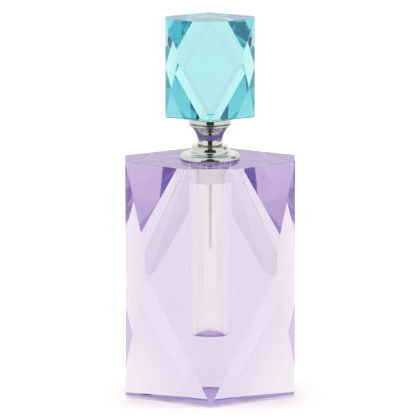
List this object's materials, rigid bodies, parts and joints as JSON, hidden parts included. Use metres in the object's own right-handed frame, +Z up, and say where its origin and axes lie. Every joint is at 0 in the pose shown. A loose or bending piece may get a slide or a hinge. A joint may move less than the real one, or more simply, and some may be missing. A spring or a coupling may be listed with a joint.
{
  "type": "perfume bottle with dauber stopper",
  "caption": "Faceted crystal block bottle with a drilled well, plated collar and screw stopper: a cut crystal knob on a flared cup with a glass dauber rod.",
  "frame": {"origin": "the point of the flat base below the well's axis, on the surface the bottle stands on", "axes": "+Z up along the well and stopper axis; X along the width; -Y is the front"},
  "size_m": [0.067, 0.0535, 0.152],
  "materials": {
    "lavender_crystal": "polished, cut facets",
    "turquoise_crystal": "polished, cut facets",
    "chrome_plate": "bright mirror plate",
    "neck_metal": "plated, knurled shank and cut thread",
    "white_plastic": "natural moulded plastic",
    "clear_rubber": "soft translucent",
    "rod_glass": "clear, fire-polished tip",
    "clear_adhesive": "clear, cured"
  },
  "bodies": {
    "bottle": {"bottle_block": "lavender_crystal", "collar_gasket": "clear_rubber", "collar_ring": "chrome_plate", "neck_tube": "neck_metal", "neck_liner": "white_plastic"},
    "seal": {"seal_washer": "clear_rubber"},
    "stopper": {"stopper_cup": "chrome_plate", "thread_insert": "white_plastic", "seat_disc": "chrome_plate", "dauber_plug": "white_plastic", "dauber_rod": "rod_glass", "stopper_bond": "clear_adhesive", "stopper_crystal": "turquoise_crystal"}
  },
  "joints": [
    {"name": "stopper_lift", "type": "slide", "parent": "bottle", "child": "seal", "axis": [0, 0, 1], "range_m": [0, 0.062]},
    {"name": "stopper_turn", "type": "hinge", "parent": "seal", "child": "stopper", "pos_m": [0, 0, 0.10825], "axis": [0, 0, 1], "range_deg": [0, 540]}
  ]
}
